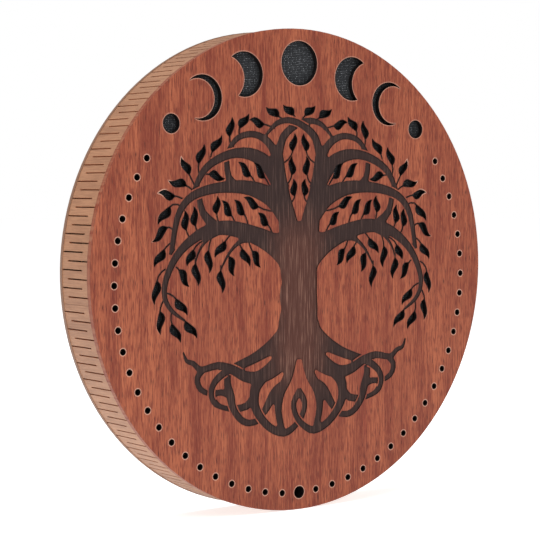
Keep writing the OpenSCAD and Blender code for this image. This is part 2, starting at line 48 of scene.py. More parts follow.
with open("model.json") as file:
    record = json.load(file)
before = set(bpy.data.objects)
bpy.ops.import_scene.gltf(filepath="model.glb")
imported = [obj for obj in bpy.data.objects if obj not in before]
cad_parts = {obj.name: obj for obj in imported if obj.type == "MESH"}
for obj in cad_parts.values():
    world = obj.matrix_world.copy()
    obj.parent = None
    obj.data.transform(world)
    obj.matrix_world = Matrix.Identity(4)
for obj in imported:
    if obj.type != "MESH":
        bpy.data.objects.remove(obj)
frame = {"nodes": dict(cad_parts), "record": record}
NODES = frame["nodes"]
MM = 0.001
FACE_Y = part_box("front_panel")[0].y
DISC_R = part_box("front_panel")[1].x
BAND_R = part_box("kerf_band")[1].x

# In millimetres from the middle of the face
TREE_REACH = 91.0
OPENINGS_FROM = 94.5
MOONS_LOW, MOONS_HIGH = 62.0, 72.0
STREAK_X, STREAK_Z = 45.0, -60.0
STREAK_HALF_W, STREAK_HALF_H = 7.0, 42.0
TRUNK_CORE, TRUNK_EDGE = 4.0, 26.0
# In millimetres from the outer edge, and below the face
RIM_W, RIM_FADE = 0.3, 1.2
FLOOR_FROM, FLOOR_FULL = 0.15, 0.25
# Share of a surface's normal that lies along the drum's axis: a wall, a face
WALL, FACE = 0.4, 0.6
# Scale of the wave that gives the laser's lines
RASTER = 0.62
# Across the grain, places the back's pattern away from the face's
BACK_GRAIN_SHIFT = 300.0
# Half-width of the charred ring round the holes in the peg block, in millimetres
CHAR_FULL, CHAR_END = 3.6, 4.2
# Angles above which an edge is softened, and above which it stays sharp to the eye
SOFTEN_ANGLE, SHARP_ANGLE = math.radians(40), math.radians(35)
PEG_NUMBERS = (1, 2, 3)


# ---- Sizes and colours ------------------------------------------------------


def colour(label, description, red, green, blue):
    """A colour setting, in linear light."""
    return FloatVectorProperty(
        name=label, description=description, subtype="COLOR", size=3, min=0, max=1,
        default=(red, green, blue),
    )


def length(label, description, default):
    """A length setting, in metres."""
    return FloatProperty(
        name=label, description=description, default=default, min=0, unit="LENGTH", precision=5
    )


class VeneerSettings(bpy.types.PropertyGroup):
    """The engraved veneer of the face"""

    light: colour("Light grain", "Lighter stripes of the veneer", 0.370, 0.100, 0.042)
    dark: colour("Dark grain", "Darker stripes of the veneer", 0.150, 0.020, 0.008)
    pore: colour("Pores", "Short dark pores along the grain", 0.045, 0.007, 0.004)
    streak: colour("Red streak", "Deeper red streaks low on the right", 0.190, 0.014, 0.008)
    engraved: colour("Engraving", "Scorched floor of the engraving", 0.030, 0.014, 0.012)
    trunk: colour("Trunk", "Engraving near the middle of the trunk", 0.085, 0.029, 0.020)
    burnt: colour("Burnt edge", "Walls that the laser burnt", 0.005, 0.003, 0.003)
    halo: colour("Pale edge", "Pale line beside each cut", 0.500, 0.265, 0.190)
    rim: colour("Rim", "Sanded outer edge of the panel", 0.260, 0.110, 0.062)
    halo_w: length("Pale edge width", "Reach of the pale line beside each cut", 0.0011)


class BandSettings(bpy.types.PropertyGroup):
    """The kerf-bent band round the drum"""

    light: colour("Light grain", "Lighter grain of the band", 0.380, 0.185, 0.098)
    dark: colour("Dark grain", "Darker grain of the band", 0.245, 0.112, 0.058)
    slit: colour("Slit walls", "Scorched walls of the saw slits", 0.420, 0.150, 0.065)


class BoardSettings(bpy.types.PropertyGroup):
    """The back panel and the unfinished wood inside"""

    light: colour("Light grain", "Lighter grain of the back panel", 0.360, 0.185, 0.100)
    dark: colour("Dark grain", "Darker grain of the back panel", 0.190, 0.085, 0.043)
    edge: colour("Edge", "Sanded edge of the back panel", 0.190, 0.110, 0.075)
    bore: colour("Bores", "Charred wood round the peg holes", 0.008, 0.005, 0.004)
    inner_light: colour("Inner wood", "Lighter grain of the wood inside", 0.600, 0.390, 0.210)
    inner_dark: colour("Inner grain", "Darker grain of the wood inside", 0.430, 0.250, 0.120)


class ClothSettings(bpy.types.PropertyGroup):
    """The woven cloth behind the openings"""

    thread: colour("Thread", "Raised threads of the cloth", 0.024, 0.026, 0.030)
    # The gap colour is also the painted shade near the edge of an opening.
    gap: colour("Gap", "Gaps between the threads", 0.002, 0.002, 0.002)
    speck: colour("Speck", "Bright ends of the threads", 0.430, 0.440, 0.460)
    pitch: length("Pitch", "Distance between two threads", 0.0009)
    thickness: length("Thickness", "Thickness of the cloth", 0.0004)
    slack: length("Slack", "Unevenness of the stretched cloth", 0.0001)
    shade: length("Shade", "How far the edge of an opening shades the cloth", 0.007)


class BedSettings(bpy.types.PropertyGroup):
    """The felt bed that the pegs lie in"""

    felt: colour("Felt", "Colour of the felt", 0.045, 0.085, 0.053)
    felt_dark: colour("Felt shade", "Colour between the fibres", 0.015, 0.032, 0.020)
    margin: length("Margin", "How far the felt stays off the tray and the pegs", 0.0003)
    pitch: length("Fineness", "Size of the felt's mesh", 0.0006)


class PegSettings(bpy.types.PropertyGroup):
    """The turned pegs"""

    pale: colour("Pale wood", "Colour of the pale pegs", 0.690, 0.500, 0.270)
    dark: colour("Dark wood", "Colour of the dark pegs", 0.085, 0.036, 0.020)


class MetalSettings(bpy.types.PropertyGroup):
    """The brass, the washer and the rubber bumpers"""

    brass: colour("Brass", "Clean brass", 0.520, 0.345, 0.135)
    tarnish: colour("Tarnish", "Tarnished brass", 0.340, 0.215, 0.085)
    washer: colour("Washer", "Plastic washer", 0.740, 0.730, 0.680)
    rubber: colour("Rubber", "Rubber bumpers", 0.020, 0.021, 0.023)
    edge_w: length("Edge", "Width of the softened edges", 0.0002)
    foot_edge: length("Bumper edge", "Roundness of a bumper's rim", 0.0011)


class StageSettings(bpy.types.PropertyGroup):
    """The floor, the lights and the camera"""

    floor: colour("Floor", "Pale floor", 0.90, 0.90, 0.90)
    glow: FloatProperty(name="Floor glow", description="Light that the lit floor gives off",
                        default=0.78, min=0)
    ambient: FloatProperty(name="Ambient", description="Light from all round", default=0.33, min=0)
    key: FloatProperty(name="Key light", description="Power of the upper left light",
                       default=17, min=0, subtype="POWER")
    fill: FloatProperty(name="Fill light", description="Power of the light in front",
                        default=7, min=0, subtype="POWER")
    top: FloatProperty(name="Top light", description="Power of the light overhead",
                       default=15, min=0, subtype="POWER")
    eye: FloatVectorProperty(name="Camera", description="Where the camera stands",
                             size=3, default=(-0.5620, -0.7870, 0.0440), subtype="TRANSLATION")
    heading: FloatVectorProperty(name="Heading", description="Direction the camera looks in",
                                 size=3, default=(0.5822, 0.8117, -0.0464), subtype="DIRECTION")
    lens: FloatProperty(name="Lens", description="Focal length", default=119.1, min=1,
                        unit="CAMERA")


GROUPS = {
    "peg_veneer": VeneerSettings, "peg_band": BandSettings, "peg_board": BoardSettings,
    "peg_cloth": ClothSettings, "peg_bed": BedSettings, "peg_pegs": PegSettings,
    "peg_metal": MetalSettings, "peg_stage": StageSettings,
}


# ---- Shader maths -----------------------------------------------------------


class Value:
    """A socket whose arithmetic adds Math nodes."""

    def __init__(self, finish, socket):
        self.finish = finish
        self.socket = socket

    def maths(self, operation, *values):
        """The result of a Math node on the values given."""
        return self.finish.node("ShaderNodeMath", {"operation": operation}, values)

    def __add__(self, other):
        return self.maths("ADD", self, other)

    def __sub__(self, other):
        return self.maths("SUBTRACT", self, other)

    def __rsub__(self, other):
        return self.maths("SUBTRACT", other, self)

    def __mul__(self, other):
        return self.maths("MULTIPLY", self, other)

    def __truediv__(self, other):
        return self.maths("DIVIDE", self, other)

    def __pow__(self, other):
        return self.maths("POWER", self, other)

    __radd__ = __add__
    __rmul__ = __mul__

    def size(self):
        return self.maths("ABSOLUTE", self)

    def sine(self):
        return self.maths("SINE", self)

    def larger(self, other):
        return self.maths("MAXIMUM", self, other)

    def rise(self, low, high):
        """0 below low and 1 above high, smooth between; falls where low is above high."""
        if low > high:
            return 1 - self.rise(high, low)
        return self.finish.node(
            "ShaderNodeMapRange", {"interpolation_type": "SMOOTHSTEP"}, [self, low, high]
        )


class Finish:
    """A material under construction, with one method that adds any node."""

    def __init__(self, name):
        self.material = bpy.data.materials.new(name)
        self.material.use_nodes = True
        self.tree = self.material.node_tree
        self.tree.nodes.clear()
        place = self.node("ShaderNodeTexCoord", output="Object")
        self.place = self.node("ShaderNodeVectorMath", {"operation": "SCALE"},
                               {0: place, "Scale": 1 / MM})
        self.normal = self.node("ShaderNodeTexCoord", output="Normal")

    def node(self, kind, settings=None, sockets=(), output=0):
        """Adds a node and gives one of its outputs; a Value is linked, a constant is set."""
        node = self.tree.nodes.new(kind)
        for key, value in (settings or {}).items():
            setattr(node, key, value)
        pairs = sockets.items() if isinstance(sockets, dict) else enumerate(sockets)
        for key, value in pairs:
            if isinstance(value, Value):
                self.tree.links.new(value.socket, node.inputs[key])
            else:
                node.inputs[key].default_value = value
        return Value(self, node.outputs[output])

    def split(self, vector):
        """The three parts of a vector."""
        parts = self.node("ShaderNodeSeparateXYZ", None, [vector])
        return [Value(self, out) for out in parts.socket.node.outputs]

    def stretched(self, sx, sy, sz):
        """The place in millimetres, multiplied along each axis."""
        return self.node("ShaderNodeVectorMath", {"operation": "MULTIPLY"},
                         [self.place, (sx, sy, sz)])

    def from_axis(self):
        """Distance in millimetres from the drum's own axis."""
        return self.node("ShaderNodeVectorMath", {"operation": "LENGTH"},
                         [self.stretched(1, 0, 1)], output=1)

    def noise(self, vector, scale=1.0, detail=2.0, roughness=0.5, distortion=0.0):
        """Noise from 0 to 1 with a mean of about a half."""
        return self.node("ShaderNodeTexNoise", None, {
            "Vector": vector, "Scale": scale, "Detail": detail, "Roughness": roughness,
            "Distortion": distortion,
        })

    def mix(self, factor, a, b):
        """Colour a turned into colour b by factor."""
        return self.node("ShaderNodeMix", {"data_type": "RGBA"},
                         {0: factor, 6: opaque(a), 7: opaque(b)}, output=2)

    def bump(self, height, distance, strength=1.0):
        """A normal that follows a height, with the distance in metres."""
        return self.node("ShaderNodeBump", None,
                         {"Height": height, "Distance": distance, "Strength": strength})

    def surface(self, **sockets):
        """Ends the material in a Principled shader; names use _ for a space."""
        shader = self.node("ShaderNodeBsdfPrincipled", None, {
            key.replace("_", " "): value for key, value in sockets.items()
        })
        end = self.tree.nodes.new("ShaderNodeOutputMaterial")
        self.tree.links.new(shader.socket, end.inputs["Surface"])
        return self.material


def opaque(tone):
    """A colour of three numbers with full alpha; anything else as it is."""
    if isinstance(tone, Value) or len(tone) == 4:
        return tone
    return (*tone, 1.0)


def shaded(tone, share):
    """A colour with only a share of its light."""
    return tuple(part * share for part in tone)


def paint(node_names, material):
    """Gives a material to CAD nodes that are shown as they are."""
    for name in node_names:
        piece = NODES[name]
        piece.data.materials.clear()
        piece.data.materials.append(material)


def wood_grain(finish, along, across):
    """Fine grain lines and soft broad bands, for along and across in millimetres."""
    lines = finish.node("ShaderNodeCombineXYZ", None, [across * 1.5, along * 0.05, 0.0])
    bands = finish.node("ShaderNodeCombineXYZ", None, [across * 0.12, along * 0.010, 3.0])
    return finish.noise(lines, 1.0, 3.0, 0.6), finish.noise(bands, 1.0, 2.0, 0.5, 0.4)


# ---- Modelling helpers ------------------------------------------------------


def begin():
    """Leaves edit mode and selects nothing."""
    if bpy.context.object and bpy.context.object.mode != "OBJECT":
        bpy.ops.object.mode_set(mode="OBJECT")
    bpy.ops.object.select_all(action="DESELECT")


def settle(piece, name, body, material):
    """Names a finished piece, puts its place in its mesh and ties it to its body."""
    begin()
    piece.select_set(True)
    bpy.context.view_layer.objects.active = piece
    bpy.ops.object.transform_apply(location=True, rotation=True, scale=True)
    piece.name = piece.data.name = name
    piece.data.materials.clear()
    piece.data.materials.append(material)
    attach(piece, body)
    return piece


def apply_modifier(piece, kind, **settings):
    """Adds one modifier with its settings and applies it."""
    begin()
    piece.select_set(True)
    bpy.context.view_layer.objects.active = piece
    modifier = piece.modifiers.new(kind.title(), kind)
    for key, value in settings.items():
        setattr(modifier, key, value)
    bpy.ops.object.modifier_apply(modifier=modifier.name)


def pick(piece, chooses, kind="verts"):
    """In edit mode, selects only the vertices, edges or faces that a test chooses."""
    mesh = bmesh.from_edit_mesh(piece.data)
    bpy.context.tool_settings.mesh_select_mode = (kind == "verts", kind == "edges",
                                                  kind == "faces")
    for item in [*mesh.faces, *mesh.edges, *mesh.verts]:
        item.select = False
    for item in getattr(mesh, kind):
        item.select_set(bool(chooses(item)))
    bmesh.update_edit_mesh(piece.data)


def softened_copy(node, name, body, material, width, segments=2):
    """A copy of a CAD node with rounded edges that stands for it."""
    begin()
    piece = NODES[node].copy()
    piece.data = NODES[node].data.copy()
    for key in list(piece.keys()):
        del piece[key]
    piece.parent = None
    bpy.context.scene.collection.objects.link(piece)
    piece.select_set(True)
    bpy.context.view_layer.objects.active = piece
    bpy.ops.object.mode_set(mode="EDIT")
    bpy.ops.mesh.select_all(action="SELECT")
    bpy.ops.mesh.remove_doubles(threshold=0.002 * MM)
    bpy.ops.mesh.dissolve_limited(angle_limit=math.radians(0.5))
    bpy.ops.object.mode_set(mode="OBJECT")
    apply_modifier(piece, "BEVEL", width=width, segments=segments, limit_method="ANGLE",
                   angle_limit=SOFTEN_ANGLE, use_clamp_overlap=True)
    bpy.ops.object.shade_smooth_by_angle(angle=SHARP_ANGLE)
    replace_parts(settle(piece, name, body, material), node)
    return piece


# ---- Materials --------------------------------------------------------------


def veneer_finish(want):
    """Interlocked veneer with a scorched engraving and burnt cut edges."""
    finish = Finish("engraved_veneer")
    x, y, z = finish.split(finish.place)
    facing = finish.split(finish.normal)[1].size()
    depth = y - FACE_Y / MM
    lines, bands = wood_grain(finish, z, x)
    fine = finish.noise(finish.stretched(4.5, 0.3, 0.35), 1.0, 2.0, 0.6)
    pores = finish.noise(finish.stretched(2.6, 0.3, 0.16), 1.0, 1.0, 0.4).rise(0.60, 0.72)
    flecks = finish.noise(finish.stretched(1.1, 0.3, 0.13), 1.0, 2.0, 0.5).rise(0.50, 0.62)
    cathedral = finish.noise(finish.stretched(0.055, 0.02, 0.006), 1.0, 1.0, 0.5)
    tone = (lines - 0.5) * 1.7 + (bands - 0.5) * 1.3 + (fine - 0.5) * 0.8 + 0.5
    wood = finish.mix(tone.rise(0.0, 1.0), want.dark, want.light)
    for darkening in ((cathedral - 0.45) * 0.8, flecks * 0.7):
        wood = finish.mix(darkening, wood, want.dark)
    wood = finish.mix(pores * 0.85, wood, want.pore)

    # A few deeper red streaks run down the lower right of the face.
    streak_x = (x - STREAK_X + (bands - 0.5) * 2 * STREAK_HALF_W) / STREAK_HALF_W
    streak_z = (z - STREAK_Z) / STREAK_HALF_H
    near = (streak_x * streak_x + streak_z * streak_z).rise(1.0, 0.2)
    wood = finish.mix(near * lines.rise(0.45, 0.62) * 0.55, wood, want.streak)

    # The laser leaves the floor of the engraving in fine crossed lines.
    lines_along, lines_across = (
        finish.node("ShaderNodeTexWave", {"bands_direction": direction},
                    {"Vector": finish.place, "Scale": RASTER, "Distortion": 0.6})
        for direction in ("Z", "X")
    )
    raster = lines_along + lines_across
    mottle = finish.noise(finish.stretched(0.45, 0.45, 0.2), 1.0, 3.0, 0.6)
    trunk = (x.size() + (mottle - 0.5) * 14.0).rise(TRUNK_EDGE, TRUNK_CORE)
    trunk = trunk * z.rise(40.0, 8.0) * z.rise(-75.0, -45.0)
    scorched = finish.mix(trunk, want.engraved, want.trunk)
    scorched = finish.mix((raster - 0.7) * 0.42, scorched, want.burnt)
    scorched = finish.mix(lines.rise(0.50, 0.72) * (0.12 + trunk * 0.28), scorched, want.halo)

    # The face is pale beside the moons and holes, and dark beside the tree's cuts, where
    # the engraving's floor is burnt too.
    edge = finish.node("ShaderNodeBevel", {"samples": 8}, {"Radius": want.halo_w})
    edge = finish.node("ShaderNodeVectorMath", {"operation": "DOT_PRODUCT"},
                       [edge, finish.node("ShaderNodeNewGeometry", output="Normal")], output=1)
    beside_cut, at_cut = edge.rise(0.9995, 0.96), edge.rise(0.97, 0.85)
    inside = finish.from_axis().rise(DISC_R / MM - RIM_W, DISC_R / MM - RIM_FADE)
    openings = (x * x + z * z).rise(TREE_REACH ** 2, OPENINGS_FROM ** 2)
    pale = beside_cut * inside * openings * (1 - z.rise(MOONS_LOW, MOONS_HIGH) * 0.45)
    wood = finish.mix(pale * 0.95, wood, want.halo)
    wood = finish.mix(at_cut * (1 - openings) * 0.8, wood, want.pore)
    scorched = finish.mix(at_cut * 0.75, scorched, want.burnt)

    on_floor = depth.rise(FLOOR_FROM, FLOOR_FULL) * facing.rise(WALL, FACE)
    rim = finish.mix(lines.rise(0.3, 0.7), want.rim, want.dark)
    rim = finish.mix((depth.rise(0.4, 0.6) * depth.rise(2.3, 2.0)) * 0.25, rim, want.light)
    wall = finish.mix(inside, rim, want.burnt)
    tint = finish.mix(on_floor, wood, scorched)
    tint = finish.mix(facing.rise(FACE, WALL), tint, wall)

    gloss = 0.46 + (1 - lines) * 0.16 + on_floor * 0.34 + pores * 0.1
    relief = lines * 0.5 + fine * 0.3 - pores * 0.8
    relief = relief + raster * on_floor * 0.5 + mottle * on_floor
    return finish.surface(
        Base_Color=tint, Roughness=gloss, Specular_IOR_Level=0.3,
        Normal=finish.bump(relief, 0.00007, 0.8),
    )


def band_finish(want):
    """Pale wood whose grain runs along the slits, with scorched walls in the slits."""
    finish = Finish("kerfed_band")
    x, y, z = finish.split(finish.place)
    turn = finish.node("ShaderNodeMath", {"operation": "ARCTAN2"}, [z, x]) * (BAND_R / MM)
    lines, bands = wood_grain(finish, y * 1.6, turn)
    specks = finish.noise(finish.stretched(2.0, 0.5, 2.0), 1.0, 2.0, 0.6)
    tone = (lines - 0.5) * 1.6 + (bands - 0.5) * 0.9 + (specks - 0.5) * 0.5 + 0.5
    wood = finish.mix(tone.rise(0.0, 1.0), want.dark, want.light)
    skin = finish.from_axis().rise(BAND_R / MM - 0.12, BAND_R / MM - 0.05)
    tint = finish.mix(skin, want.slit, wood)
    return finish.surface(
        Base_Color=tint, Roughness=0.5 + (1 - lines) * 0.15,
        Normal=finish.bump(lines + specks * 0.4, 0.00005, 0.7),
    )


def back_finish(want):
    """Satin brown board, with its own tint on the edge and on cut walls."""
    finish = Finish("back_board")
    x, y, z = finish.split(finish.place)
    lines, bands = wood_grain(finish, z, x + BACK_GRAIN_SHIFT)
    pores = finish.noise(finish.stretched(2.4, 0.3, 0.15), 1.0, 1.0, 0.4).rise(0.6, 0.72)
    tone = (lines - 0.5) * 1.6 + (bands - 0.5) * 1.6 + 0.5
    wood = finish.mix(tone.rise(0.0, 1.0), want.dark, want.light)
    wood = finish.mix(pores * 0.5, wood, want.edge)
    facing = finish.split(finish.normal)[1].size()
    edge = finish.mix(lines, want.edge, want.dark)
    tint = finish.mix(facing.rise(FACE, WALL), wood, edge)
    return finish.surface(
        Base_Color=tint, Roughness=0.46 + (1 - lines) * 0.16,
        Normal=finish.bump(lines - pores * 0.8, 0.00006, 0.8),
    )


def peg_circle():
    """Height of the centre and radius of the circle that all the peg holes lie on."""
    places = {row["name"]: Vector(row["pos_m"]) for row in frame["record"]["mounts"]}
    low, high = places["game_hole"], places["peg_hole_right_last"]
    centre = (low.z ** 2 - high.x ** 2 - high.z ** 2) / (2 * (low.z - high.z))
    return centre, centre - low.z


def inner_finish(want, name="bare_wood", bored=False):
    """Bare pale wood of the blocks and the tray, charred round the peg holes if bored."""
    finish = Finish(name)
    x, y, z = finish.split(finish.place)
    lines, bands = wood_grain(finish, x, z + y * 0.7)
    tone = (lines - 0.5) * 1.5 + (bands - 0.5) * 1.2 + 0.5
    tint = finish.mix(tone.rise(0.0, 1.0), want.inner_dark, want.inner_light)
    if bored:
        centre, radius = peg_circle()
        away = (x * x + (z - centre / MM) ** 2.0) ** 0.5 - radius / MM
        tint = finish.mix(away.size().rise(CHAR_END, CHAR_FULL), tint, want.bore)
    return finish.surface(
        Base_Color=tint, Roughness=0.62 + (1 - lines) * 0.15,
        Normal=finish.bump(lines, 0.00008, 0.8),
    )


def cloth_finish(want):
    """Plain weave with bright thread ends, with painted shade close to the edge of an opening."""
    finish = Finish("speaker_weave")
    per_mm = math.pi / (want.pitch / MM)
    x, y, z = finish.split(finish.place)
    drift = (finish.noise(finish.place, 0.09, 2.0, 0.5) - 0.5) * 0.7
    across = ((x + drift) * per_mm).sine().size()
    upward = ((z + drift * 0.6) * per_mm).sine().size()
    threads = across.larger(upward)
    crossing = across * upward
    uneven = finish.noise(finish.stretched(0.9, 0.9, 0.9), 1.0, 3.0, 0.7)
    tint = finish.mix(threads.rise(0.45, 0.95) * (0.45 + uneven), want.gap, want.thread)
    tint = finish.mix(crossing.rise(0.72, 0.98) * uneven.rise(0.47, 0.66), tint, want.speck)
    # Painted shade: the cloth turns to the gap colour where an opening's edge is near, as ambient
    # occlusion finds it.
    lit = finish.node("ShaderNodeAmbientOcclusion", {"samples": 6},
                      {"Distance": want.shade}, output=1)
    tint = finish.mix(lit.rise(0.05, 0.85), want.gap, tint)
    return finish.surface(
        Base_Color=tint, Roughness=0.85, Specular_IOR_Level=0.25, Sheen_Weight=0.08,
        Sheen_Roughness=0.5,
        Normal=finish.bump(threads + crossing, 0.00015, 1.0),
    )


def felt_finish(want):
    """Short matted fibres."""
    finish = Finish("green_felt")
    fibres = finish.noise(finish.place, 3.2, 4.0, 0.75, 1.2)
    matted = finish.noise(finish.place, 0.5, 2.0, 0.6)
    tint = finish.mix(fibres.rise(0.35, 0.7) * 0.8 + matted * 0.3, want.felt_dark, want.felt)
    return finish.surface(
        Base_Color=tint, Roughness=0.95, Sheen_Weight=0.5, Sheen_Roughness=0.4,
        Normal=finish.bump(fibres, 0.00025, 1.0),
    )


def peg_finish(name, tone):
    """Turned wood, with grain along the peg and faint lathe rings."""
    finish = Finish(name)
    x, y, z = finish.split(finish.place)
    grain = finish.noise(finish.stretched(0.12, 2.2, 2.2), 1.0, 3.0, 0.6)
    rings = finish.noise(finish.stretched(3.0, 0.05, 0.05), 1.0, 1.0, 0.5)
    tint = finish.mix(grain.rise(0.3, 0.7), shaded(tone, 0.5), tone)
    return finish.surface(
        Base_Color=tint, Roughness=0.34 + rings * 0.16,
        Normal=finish.bump(grain + rings, 0.00004, 0.7),
    )


def brass_finish(want):
    """Brushed brass, a little tarnished, with fine scratches."""
    finish = Finish("brushed_brass")
    brushed = finish.noise(finish.stretched(0.12, 6.0, 6.0), 1.0, 2.0, 0.6)
    tarnished = finish.noise(finish.place, 0.11, 4.0, 0.65).rise(0.44, 0.72)
    tint = finish.mix(tarnished * 0.45, want.brass, want.tarnish)
    return finish.surface(
        Base_Color=tint, Metallic=1.0, Roughness=0.24 + brushed * 0.16 + tarnished * 0.16,
        Normal=finish.bump(brushed, 0.00002, 0.5),
    )


def washer_finish(want):
    """Moulded plastic."""
    finish = Finish("washer_plastic")
    grain = finish.noise(finish.place, 2.5, 2.0, 0.6)
    tint = finish.mix(grain * 0.25, want.washer, shaded(want.washer, 0.8))
    return finish.surface(
        Base_Color=tint, Roughness=0.5 + grain * 0.1, Normal=finish.bump(grain, 0.00003, 0.5)
    )


def rubber_finish(want):
    """Matt rubber with a little dust."""
    finish = Finish("bumper_rubber")
    grain = finish.noise(finish.place, 3.0, 3.0, 0.7)
    dust = finish.noise(finish.place, 0.25, 3.0, 0.6).rise(0.5, 0.8)
    tint = finish.mix(dust * 0.25, want.rubber, (0.12, 0.115, 0.11))
    return finish.surface(
        Base_Color=tint, Roughness=0.72 + grain * 0.15, Normal=finish.bump(grain, 0.00006, 0.7)
    )


# ---- Operators --------------------------------------------------------------


class PEGBOARD_OT_stage(bpy.types.Operator):
    """Adds the camera, the pale floor and soft light"""

    bl_idname = "pegboard.stage"
    bl_label = "Stage"

    # Where each light stands and how wide it is; its power is the setting of its name.
    LIGHTS = {
        "key": ((-0.85, -0.85, 1.45), 1.1),
        "fill": ((0.9, -1.6, 0.5), 1.6),
        "top": ((-0.5, 0.1, 1.5), 0.8),
    }
    FLOOR_SIZE = 14
    FLOOR_GAP = 0.0001
    SENSOR_W = 36
    NEAR_CLIP = 0.01

    def execute(self, context):
        want = context.scene.peg_stage
        scene = context.scene
        scene.view_settings.view_transform = "Standard"

        begin()
        bpy.ops.object.camera_add(location=want.eye)
        camera = context.object
        camera.name = "board_camera"
        camera.rotation_euler = Vector(want.heading).to_track_quat("-Z", "Y").to_euler()
        camera.data.lens = want.lens
        camera.data.sensor_width = self.SENSOR_W
        camera.data.clip_start = self.NEAR_CLIP
        scene.camera = camera

        for name, (place, size) in self.LIGHTS.items():
            self.add_light(name + "_light", place, size, getattr(want, name))

        begin()
        bpy.ops.mesh.primitive_plane_add(size=self.FLOOR_SIZE,
                                         location=(0, 0, -DISC_R - self.FLOOR_GAP))
        floor = context.object
        floor.name = "pale_floor"
        finish = Finish("pale_floor")
        grain = finish.noise(finish.place, 0.02, 2.0, 0.5)
        tint = finish.mix(grain * 0.04, want.floor, shaded(want.floor, 0.96))
        floor.data.materials.append(finish.surface(
            Base_Color=tint, Roughness=1.0, Specular_IOR_Level=0.0, Emission_Color=tint,
            Emission_Strength=want.glow))
        self.light_world(scene, want.ambient)
        return {"FINISHED"}

    @staticmethod
    def add_light(name, place, size, power):
        """A square light that faces the middle of the object."""
        bpy.ops.object.light_add(type="AREA", location=place)
        light = bpy.context.object
        light.name = name
        light.data.size = size
        light.data.energy = power
        light.rotation_euler = (-Vector(place)).to_track_quat("-Z", "Y").to_euler()

    @staticmethod
    def light_world(scene, ambient):
        """White behind the object, and a softer white on it."""
        world = bpy.data.worlds.new("studio")
        scene.world = world
        world.use_nodes = True
        tree = world.node_tree
        tree.nodes.clear()
        seen = tree.nodes.new("ShaderNodeLightPath")
        shown = tree.nodes.new("ShaderNodeBackground")
        lit = tree.nodes.new("ShaderNodeBackground")
        lit.inputs["Color"].default_value = (1, 1, 1, 1)
        shown.inputs["Color"].default_value = (1, 1, 1, 1)
        lit.inputs["Strength"].default_value = ambient
        mix = tree.nodes.new("ShaderNodeMixShader")
        end = tree.nodes.new("ShaderNodeOutputWorld")
        tree.links.new(seen.outputs["Is Camera Ray"], mix.inputs[0])
        tree.links.new(lit.outputs[0], mix.inputs[1])
        tree.links.new(shown.outputs[0], mix.inputs[2])
        tree.links.new(mix.outputs[0], end.inputs["Surface"])


class PEGBOARD_OT_face(bpy.types.Operator):
    """Finishes the engraved and pierced front panel"""

    bl_idname = "pegboard.face"
    bl_label = "Face"

    def execute(self, context):
        paint(["front_panel"], veneer_finish(context.scene.peg_veneer))
        return {"FINISHED"}


class PEGBOARD_OT_band(bpy.types.Operator):
    """Finishes the kerf-bent band"""

    bl_idname = "pegboard.band"
    bl_label = "Band"

    def execute(self, context):
        paint(["kerf_band"], band_finish(context.scene.peg_band))
        return {"FINISHED"}


class PEGBOARD_OT_boards(bpy.types.Operator):
    """Finishes the back panel and the bare wood inside"""

    bl_idname = "pegboard.boards"
    bl_label = "Back and Blocks"

    def execute(self, context):
        want = context.scene.peg_board
        paint(["back_panel"], back_finish(want))
        paint(["peg_block"], inner_finish(want, "bored_block", bored=True))
        paint(["seam_splice", "screw_blocks", "peg_tray", "pivot_block", "catch_block",
               "hanger_blocks"], inner_finish(want))
        return {"FINISHED"}


class PEGBOARD_OT_cloth(bpy.types.Operator):
    """Stretches the woven cloth behind the openings"""

    bl_idname = "pegboard.cloth"
    bl_label = "Cloth"

    RINGS = 10
    SIDES = 360
    # Clear of the face panel and of the peg block
    FACE_GAP = 0.05 * MM
    BLOCK_GAP = 0.8 * MM

    def execute(self, context):
        want = context.scene.peg_cloth
        low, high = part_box("cloth_backing")
        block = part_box("peg_block")
        outer = high.z
        depth = low.y + want.thickness / 2 + self.FACE_GAP
        # The cloth is cut back to a smaller circle where the peg block is glued.
        step = 2 * math.pi / self.SIDES
        block_half = math.acos(-block[1].z / block[1].x) + 1.2 * step
        inner = self.block_inner_r() - self.BLOCK_GAP

        begin()
        bpy.ops.mesh.primitive_circle_add(vertices=self.SIDES, radius=outer,
                                          location=(0, depth, 0),
                                          rotation=(math.pi / 2, 0, 0))
        cloth = context.object
        bpy.ops.object.transform_apply(location=False, rotation=True, scale=False)
        bpy.ops.object.mode_set(mode="EDIT")
        pick(cloth, lambda v: math.atan2(abs(v.co.x), -v.co.z) < block_half)
        self.shrink(inner / outer, depth)
        bpy.ops.mesh.select_all(action="SELECT")
        for ring in range(self.RINGS, 1, -1):
            bpy.ops.mesh.extrude_region()
            self.shrink((ring - 1) / ring, depth)
        bpy.ops.mesh.edge_face_add()
        bpy.ops.mesh.poke()
        bpy.ops.mesh.select_all(action="SELECT")
        bpy.ops.mesh.normals_make_consistent(inside=False)
        bpy.ops.object.mode_set(mode="OBJECT")

        uneven = bpy.data.textures.new("stretch", "CLOUDS")
        uneven.noise_scale = 0.03
        apply_modifier(cloth, "DISPLACE", texture=uneven, strength=want.slack, mid_level=0.0,
                       direction="Y", texture_coords="LOCAL")
        apply_modifier(cloth, "SOLIDIFY", thickness=want.thickness, offset=0)
        bpy.ops.object.shade_smooth_by_angle(angle=math.radians(30))
        settle(cloth, "woven_cloth", "board", cloth_finish(want))
        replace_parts(cloth, "cloth_backing")
        return {"FINISHED"}

    @staticmethod
    def shrink(share, depth):
        """Draws the selection towards the drum's axis."""
        bpy.ops.transform.resize(value=(share, 1, share), center_override=(0, depth, 0))

    @staticmethod
    def block_inner_r():
        """Radius of the peg block's inner side."""
        return min(math.hypot(v.co.x, v.co.z) for v in NODES["peg_block"].data.vertices)

    @staticmethod
    def cut_area(outer, inner, half):
        """Area of the cloth: the outer circle, and the inner one over the block's angle."""
        return half * inner ** 2 + (math.pi - half) * outer ** 2


